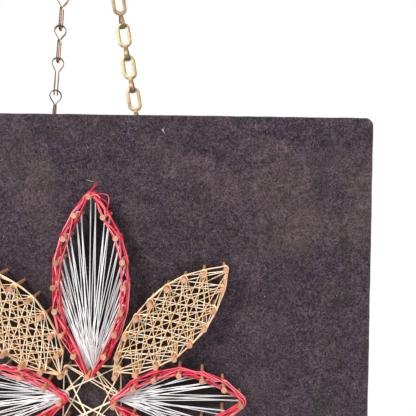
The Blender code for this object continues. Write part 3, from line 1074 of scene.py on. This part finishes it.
    def white_fan(self, lens: Lens) -> Thing:
        """Stretch bundles of straight strands from a petal's inner tip nail.

        Args:
            lens: The petal.

        Returns:
            The fan.
        """
        base = self.nail(lens, 0, 1)
        steps = range(self.first_fanned, lens.spaces)
        ends = [(step, -1) for step in steps] + [(lens.spaces, 1)]
        ends += [(step, 1) for step in reversed(steps)]
        lines = []
        for number, end in enumerate(ends):
            tip = self.nail(lens, *end)
            level = self.white[0] + (self.white[1] - self.white[0]) * number / (len(ends) - 1)
            turns = []
            for trip in range(self.fan_trips):
                turns.append(self.turn(base, level, scatter=0.15 * MM, layers=2.2))
                height = turns[-1].height + self.rng.gauss(0, 0.35 * MM)
                layer = self.tip_layer * trip + self.rng.uniform(0.0, 0.3)
                turns.append(Turn(tip, height, self.reach(layer)))
            lines.append(self.thread.run(turns, self.taut))
        return self.winding("white_strands_" + lens.name, lines, Slot.WHITE, "white_fan_" + lens.name)

    def cream_net(self, lens: Lens) -> Thing:
        """Cross a thread from side to side of a leaf, and run it round the rim.

        Args:
            lens: The leaf.

        Returns:
            The net.
        """
        lines = []
        for shift, mirror in ((3, 1), (3, -1), (5, 1), (5, -1), (2, 1), (2, -1)):
            level = self.rng.uniform(*self.upper)
            turns = [self.turn(self.nail(lens, place, side), level, scatter=0.35 * MM, layers=1.6)
                     for step in range(lens.spaces - shift + 1)
                     for place, side in ((step, mirror), (step + shift, -mirror))]
            lines.append(self.thread.run(turns, self.eased))
        steps = lens.steps()
        for _ in range(self.rim_rounds):
            level = self.rng.uniform(*self.upper)
            turns = [self.turn(self.nail(lens, *step), level, scatter=0.3 * MM, layers=1.5)
                     for step in steps + steps[:1]]
            lines.append(self.thread.run(turns, self.loose))
        return self.winding("cream_net_" + lens.name, lines, Slot.CREAM, "cream_leaf_" + lens.name)

    def hub_star(self) -> Thing:
        """Cross a thread between the eight innermost nails.

        Returns:
            The star.
        """
        ring = sorted(self.petals + self.leaves, key=lambda lens: lens.degrees)
        nails = [self.nail(lens, 0, 1) for lens in ring]
        lines = []
        for skip, rounds, shift in ((3, 3, 0), (2, 2, 1)):
            level = self.rng.uniform(*self.star)
            turns = []
            for count in range(len(nails) * rounds + 1):
                nail = nails[(count * skip + count // len(nails) * shift) % len(nails)]
                turns.append(self.turn(nail, level, scatter=0.2 * MM, layers=1.2))
            lines.append(self.thread.run(turns, self.starred))
        return self.winding("cream_star", lines, Slot.CREAM, "cream_hub_star")


# ---------------------------------------------------------------- board and felt

@dataclass
class Panel:
    """The plywood board in its felt."""

    finishes: Finishes
    lenses: Sequence[Lens]
    felt_thick: float = 1.0 * MM
    turn_in: float = 25.0 * MM
    corner: float = 4.5 * MM
    edge_radius: float = 1.1 * MM
    grid: float = 3.0 * MM
    # how far out from the windings the painted shade reaches
    shade_reach: float = 8.5 * MM
    lumps: tuple = ((9.0 * MM, 0.35 * MM), (28.0 * MM, 0.4 * MM))
    lint_count: int = 150
    lint_radius: float = 0.08 * MM
    lint_margin: float = 6.0 * MM
    lint_lift: float = 0.10 * MM
    speck: tuple[float, float] = (0.2 * MM, 0.7 * MM)
    hair: tuple[float, float] = (2.0 * MM, 6.0 * MM)
    tuft_hair: tuple[float, float] = (1.0 * MM, 2.2 * MM)

    def build(self) -> list[Thing]:
        """Finish the bare board, and build the felt and its lint."""
        dress(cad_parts["board"], self.finishes[Slot.WOOD])
        return [self.felt(), self.lint()]

    def felt(self) -> Thing:
        """Stretch one sheet over the front and the edges and turn it in on the back.

        Returns:
            The felt.
        """
        size = HIGH - LOW
        take()
        bpy.ops.mesh.primitive_cube_add(size=1.0, location=(LOW + HIGH) / 2, scale=size)
        sheet = settle(bpy.context.object, "felt_sheet")
        edit(sheet)
        select(Part.EDGES, lambda a, b: abs(a.y - b.y) > size.y / 2)
        bpy.ops.mesh.bevel(offset=self.corner, segments=8, affect="EDGES")
        select(Part.EDGES, lambda a, b: abs(a.y - b.y) < 1e-5)
        bpy.ops.mesh.bevel(offset=self.edge_radius, segments=3, affect="EDGES")
        select(Part.FACES, lambda centre, normal: normal.y > 0.99 and abs(centre.y - HIGH.y) < 1e-5)
        bpy.ops.mesh.inset(thickness=self.turn_in - self.edge_radius)
        bpy.ops.mesh.delete(type="FACE")
        self.slice(size)
        bpy.ops.object.mode_set(mode="OBJECT")
        self.roughen(sheet)
        finish_with(sheet, "SOLIDIFY", thickness=self.felt_thick, offset=-1.0)
        smooth(sheet, 50.0)
        self.paint_winding_shade(sheet)
        declare(sheet, self.finishes, Slot.FELT, "felt_cover")
        return sheet

    def slice(self, size: Vector) -> None:
        """Bisect the open sheet into a fine grid.

        Args:
            size: The sheet's width, depth and height.
        """
        count = round(size.x / self.grid)
        for normal in ((1.0, 0.0, 0.0), (0.0, 0.0, 1.0)):
            for number in range(1, count):
                place = LOW + Vector(normal) * (size.x * number / count)
                bpy.ops.mesh.select_all(action="SELECT")
                bpy.ops.mesh.bisect(plane_co=place, plane_no=normal)

    def roughen(self, sheet: Thing) -> None:
        """Give the open sheet its lumpy lie, small lumps and broad ones.

        Args:
            sheet: The open sheet.
        """
        for size, strength in self.lumps:
            cloud = bpy.data.textures.new("felt_lumps", "CLOUDS")
            cloud.noise_scale = size
            finish_with(sheet, "DISPLACE", texture=cloud, strength=strength, mid_level=0.5,
                        texture_coords="GLOBAL")

    def paint_winding_shade(self, sheet: Thing) -> None:
        """Mark the painted shade under and around the windings, which darkens the felt to stand in for the
        shade they cast.

        Args:
            sheet: The felt.
        """
        values = []
        for vertex in sheet.data.vertices:
            place = Vector((vertex.co.x, vertex.co.z))
            gap = min(lens.clearance(place) for lens in self.lenses)
            share = min(1.0, max(0.0, (self.shade_reach - gap) / (2 * self.shade_reach)))
            values.append(share * share * (3 - 2 * share))
        mark(sheet, "painted_winding_shade", "POINT", values)

    def lint(self) -> Thing:
        """Scatter pale specks, short hairs and small tufts on the felt.

        Returns:
            The lint as one piece.
        """
        rng = random.Random(12)
        margin, joints = self.lint_margin, 5
        lines = []
        for number in range(self.lint_count):
            tuft = number % 25 in (1, 2, 3, 4)
            if not tuft:
                start = Vector((rng.uniform(LOW.x + margin, HIGH.x - margin), FACE - self.lint_lift,
                                rng.uniform(LOW.z + margin, HIGH.z - margin)))
            heading = rng.uniform(0, math.tau)
            reach = rng.uniform(*(self.hair if number % 9 == 0 else self.speck))
            if tuft:
                reach = rng.uniform(*self.tuft_hair)
            bend = rng.gauss(0, 0.4)
            line = [start]
            for _ in range(joints):
                heading += bend
                along = Vector((math.cos(heading), 0.0, math.sin(heading)))
                line.append(line[-1] + along * (reach / joints))
            lines.append(line)
        return declare(lay_threads("felt_lint", lines, self.lint_radius), self.finishes, None)


# ---------------------------------------------------------------- chain and screw eyes

def on_axes(across: Vector, up: Vector, back: Vector, origin: Vector) -> Matrix:
    """The matrix of a thing whose own axes lie along three directions.

    Args:
        across: Where its X points.
        up: Where its Y points.
        back: Where its Z points.
        origin: Where its origin is.

    Returns:
        The matrix.
    """
    matrix = Matrix((across, up, back)).transposed().to_4x4()
    matrix.translation = origin
    return matrix


@dataclass
class LinkPattern:
    """A flat stamping of ring, bridge and ring, folded at the bridge's middle."""

    strip_thick: float = 0.6 * MM
    ring_length: float = 14.4 * MM
    ring_width: float = 8.2 * MM
    ring_strip: float = 1.9 * MM
    ring_corner: float = 3.6 * MM
    ring_spacing: float = 1.9 * MM
    link_length: float = 22.9 * MM
    loop_radius: float = 3.3 * MM
    neck_half_width: float = 1.15 * MM
    bend_half_width: float = 1.4 * MM
    edge: float = 0.22 * MM
    bridge_edge: float = 0.16 * MM
    bridge_thick: float = 0.52 * MM
    leg_shares: tuple[float, ...] = (0.3, 0.65, 0.92)
    roots: tuple = ((0.35 * MM, 1.25), (1.0 * MM, 1.6))

    @property
    def neck(self) -> float:
        """The height where the bridge leaves the rings, which is their holes' far edge."""
        return self.ring_length - self.ring_strip

    @property
    def inner_bend(self) -> float:
        """The height of the fold's inner top."""
        return self.link_length - self.ring_strip - self.strip_thick

    @property
    def loop_centre(self) -> float:
        """The height of the fold's middle."""
        return self.link_length - self.ring_strip - self.strip_thick / 2 - self.loop_radius

    def model(self) -> Thing:
        """Model one link along +Z, its far ring end's inner edge at the origin.

        Returns:
            The link.
        """
        rings = [self.ring(side) for side in (-1, 1)]
        take(self.bridge(), *rings)
        bpy.ops.object.join()
        link = settle(bpy.context.object, "link_model")
        smooth(link, 45.0)
        mark_share(link, self.face_share)
        return link

    def face_share(self, centre: Vector, normal: Vector) -> float:
        """How much of the darker marked colour a face of the link takes: cut edges most, the bridge a
        little.

        Args:
            centre: The face's middle.
            normal: Its normal.

        Returns:
            The share from 0 to 1.
        """
        in_bridge = centre.z > self.neck
        if abs(normal.y) > 0.6 or (abs(normal.x) < 0.6 and not in_bridge):
            return 1.0
        return 0.4 if in_bridge else 0.0

    def ring(self, side: int) -> Thing:
        """Model one of the link's two flat rings.

        Args:
            side: -1 or 1 for the two sides of the fold.

        Returns:
            The ring.
        """
        take()
        middle = self.ring_length / 2 - self.ring_strip
        bpy.ops.mesh.primitive_cube_add(size=1.0, location=(side * self.ring_spacing / 2, 0.0, middle),
                                        scale=(self.strip_thick, self.ring_width, self.ring_length))
        ring = settle(bpy.context.object, "ring")
        edit(ring)
        select(Part.EDGES, lambda a, b: abs(a.x - b.x) > self.strip_thick / 2)
        bpy.ops.mesh.bevel(offset=self.ring_corner, segments=5, affect="EDGES")
        select(Part.FACES, lambda centre, normal: abs(normal.x) > 0.99)
        bpy.ops.mesh.inset(thickness=self.ring_strip)
        bpy.ops.mesh.bridge_edge_loops()
        bpy.ops.mesh.select_all(action="SELECT")
        bpy.ops.mesh.normals_make_consistent(inside=False)
        bpy.ops.mesh.select_mode(type="EDGE")
        bpy.ops.mesh.select_all(action="DESELECT")
        bpy.ops.mesh.edges_select_sharp(sharpness=math.radians(60.0))
        bpy.ops.mesh.bevel(offset=self.edge, segments=2, affect="EDGES")
        close_edit()
        return ring

    def bridge(self) -> Thing:
        """Model the folded bridge that joins the rings, its ends sunk in them.

        Returns:
            The bridge.
        """
        stations = self.fold()
        columns = 2 * (len(stations) - 1)
        take()
        bpy.ops.mesh.primitive_grid_add(x_subdivisions=columns, y_subdivisions=4, size=1.0)
        strip = settle(bpy.context.object, "bridge")
        for vertex in strip.data.vertices:
            column = round(vertex.co.x * columns)
            across, height, half_width = stations[abs(column)]
            vertex.co = (math.copysign(across, column), vertex.co.y * 2 * half_width, height)
        finish_with(strip, "SOLIDIFY", thickness=self.bridge_thick, offset=0.0)
        finish_with(strip, "BEVEL", width=self.bridge_edge, segments=2, limit_method="ANGLE",
                    angle_limit=math.radians(55.0))
        edit(strip)
        close_edit()
        return strip

    def fold(self) -> list[tuple[float, float, float]]:
        """Stations from the fold's top down one side to inside the ring.

        Returns:
            Each station's distance across, height and half width.
        """
        spread, fall = self.ring_spacing / 2, self.loop_centre - self.neck
        turn = math.atan2(spread, -fall) - math.acos(self.loop_radius / math.hypot(spread, fall))
        narrowing, steps = self.bend_half_width - self.neck_half_width, 8
        stations = []
        for step in range(steps + 1):
            angle = turn * step / steps
            stations.append((self.loop_radius * math.sin(angle),
                             self.loop_centre + self.loop_radius * math.cos(angle),
                             self.bend_half_width - narrowing * (step / steps) ** 2))
        across, height, _ = stations[-1]
        for share in self.leg_shares:
            stations.append((across + (spread - across) * share, height + (self.neck - height) * share,
                             self.neck_half_width))
        for sunk, flare in self.roots:
            stations.append((spread, self.neck - sunk, self.neck_half_width * flare))
        return stations


@dataclass
class Chain:
    """Two strands of folded links that meet at a top link over the wall nail."""

    finishes: Finishes
    pattern: LinkPattern = field(default_factory=LinkPattern)
    pinched_spacing: float = 0.95 * MM
    pinched_links: tuple[str, ...] = ("left_1", "left_2", "left_4", "left_5", "left_6", "left_8",
                                      "right_2", "right_4", "right_5", "right_7")
    pitch: float = 19.5 * MM
    links: int = 8
    left_lean: float = 3.9
    right_lean: float = 9.6
    top_tilt: float = 10.5
    left_twists: tuple[float, ...] = (22.0, 26.0, 18.0, 11.0, 10.0, 8.0, 5.0, 2.0)
    twist_step: float = 18.0
    loop_over_rings: float = 1.0 * MM
    rings_over_loop: float = 1.1 * MM

    def build(self) -> list[Thing]:
        """Copy the link to its seventeen places and finish the screw eyes.

        Returns:
            The links.
        """
        loose = self.pattern.model()
        pinched = replace(self.pattern, ring_spacing=self.pinched_spacing).model()
        made = []
        for name, place in self.places():
            model = pinched if name in self.pinched_links else loose
            link = copies(model, [place], "link_" + name)
            made.append(declare(link, self.finishes, Slot.BRASS, "chain_" + name))
        bpy.data.objects.remove(loose)
        bpy.data.objects.remove(pinched)
        for node in ("screw_eye_left", "screw_eye_right"):
            dress(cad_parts[node], self.finishes[Slot.BRASS])
        return made

    def places(self) -> list[tuple[str, Matrix]]:
        """Each link's name and matrix, as the frame hangs them.

        Returns:
            Pairs of name and matrix.
        """
        link = self.pattern
        top_height = (link.ring_spacing + link.strip_thick) / 2
        top_start = -(link.link_length / 2 - link.ring_strip)
        up = self.heading(self.left_lean, 1.0)
        loop_top = self.tilted(top_start - link.ring_strip / 2, 2 * top_height + self.loop_over_rings)
        highest = loop_top - up * link.inner_bend
        places = [(f"left_{number + 1}", self.hung(highest - up * (self.pitch * (self.links - 1 - number)),
                                                   up, self.left_twists[number]))
                  for number in range(self.links)]
        top = self.tilted(top_start, top_height)
        places.append(("top", self.hung(top, self.tilted(1.0, 0.0), 0.0)))
        down = self.heading(self.right_lean, -1.0)
        rest = top_height - link.loop_radius + link.strip_thick / 2 + self.rings_over_loop
        first = self.tilted(top_start + link.loop_centre, rest)
        places += [(f"right_{number + 1}", self.hung(first + down * (self.pitch * number), down,
                                                     min(self.twist_step * (number + 1), 90.0)))
                   for number in range(self.links)]
        return places

    def tilted(self, across: float, up: float) -> Vector:
        """A point of the level top link, turned with it about the hanging point."""
        return Matrix.Rotation(math.radians(-self.top_tilt), 3, "Y") @ Vector((across, 0.0, up))

    def heading(self, lean: float, rise: float) -> Vector:
        """The way a strand runs, leaning right by some degrees; rise is 1 for up and -1 for down."""
        return Vector((math.sin(math.radians(lean)), 0.0, rise * math.cos(math.radians(lean))))

    def hung(self, origin: Vector, along: Vector, twist: float) -> Matrix:
        """Place a link with its Z along a direction and its rings turned by a twist.

        Args:
            origin: The link's origin.
            along: Its direction.
            twist: The turn about that direction, in degrees.

        Returns:
            The link's matrix.
        """
        across, angle = Vector((along.z, 0.0, -along.x)), math.radians(twist)
        turned = across * math.cos(angle) + BACK * math.sin(angle)
        return on_axes(turned, along.cross(turned), along, origin)


# ---------------------------------------------------------------- studio

@dataclass
class Studio:
    """The pale floor, the soft light and the camera."""

    distance: float = 0.235
    aside: float = 61.1 * MM
    above: float = 121.5 * MM
    roll: float = 0.77
    pitch: float = 0.9
    lens: float = 36.7
    shift: float = -0.0713
    drop: float = 1.05
    floor_radius: float = 2.0
    lit: Vector = field(default_factory=lambda: Vector((0.06, 0.0, -0.26)))
    surround: float = 0.68

    def build(self) -> None:
        """Set up the floor, the light and the camera."""
        self.floor()
        self.world()
        self.lights()
        self.camera()
        bpy.context.scene.view_settings.view_transform = "Standard"

    def floor(self) -> None:
        """Lay a pale floor under the hanging board."""
        take()
        bpy.ops.mesh.primitive_circle_add(vertices=96, radius=self.floor_radius, fill_type="NGON",
                                          location=(0.0, 0.0, LOW.z - self.drop))
        floor = settle(bpy.context.object, "floor")
        dress(floor, FloorFinish("pale_floor").make())

    def world(self) -> None:
        """A white surround for the camera, and a softer one for the light."""
        world = bpy.data.worlds.new("studio")
        bpy.context.scene.world = world
        world.use_nodes = True
        nodes = Nodes(world.node_tree)
        world.node_tree.nodes.clear()
        seen = nodes.add("ShaderNodeBackground", {"Color": (1.0, 1.0, 1.0, 1.0)})
        light = nodes.add("ShaderNodeBackground", {"Color": (1.0, 0.985, 0.97, 1.0),
                                                   "Strength": self.surround})
        to_camera = nodes.add("ShaderNodeLightPath").outputs["Is Camera Ray"]
        share = nodes.add("ShaderNodeMixShader", {0: to_camera, 1: light.outputs[0], 2: seen.outputs[0]})
        nodes.add("ShaderNodeOutputWorld", {0: share.outputs[0]})

    def lights(self) -> None:
        """A key from the front upper left, a fill from the right and a glow behind."""
        for name, place, size, power in (
                ("key", Vector((-0.55, -1.0, 0.55)), 0.35, 19.5),
                ("fill", Vector((0.9, -1.0, -0.1)), 0.9, 5.6),
                ("behind", Vector((0.2, 1.2, 0.4)), 1.0, 9.0)):
            data = bpy.data.lights.new(name, "AREA")
            data.size = size
            data.energy = power
            lamp = bpy.data.objects.new(name, data)
            bpy.context.scene.collection.objects.link(lamp)
            lamp.location = place
            lamp.rotation_euler = (self.lit - place).to_track_quat("-Z", "Y").to_euler()

    def camera(self) -> None:
        """Look nearly straight at the board, from the right of the motif's middle and above it."""
        data = bpy.data.cameras.new("camera")
        data.lens = self.lens
        data.sensor_width = 36.0
        data.shift_y = self.shift
        camera = bpy.data.objects.new("camera", data)
        bpy.context.scene.collection.objects.link(camera)
        eye = Vector((MIDDLE.x + self.aside, FACE - self.distance, MIDDLE.y + self.above))
        roll = math.radians(self.roll)
        up = Vector((-math.sin(roll), 0.0, math.cos(roll)))
        level = on_axes(BACK.cross(up), up, -BACK, eye)
        camera.matrix_world = level @ Matrix.Rotation(math.radians(-self.pitch), 4, "X")
        bpy.context.scene.camera = camera


def main() -> None:
    """Build every sub-assembly in order and log each piece's face count."""
    logging.basicConfig(level=logging.INFO, format="%(message)s")
    finishes = make_finishes()
    motif = Motif(finishes)
    for builder in (Panel(finishes, motif.petals + motif.leaves), motif, Chain(finishes)):
        for piece in builder.build():
            LOG.info("%s: %d faces", piece.name, len(piece.data.polygons))
    Studio().build()


if __name__ == "__main__":
    main()
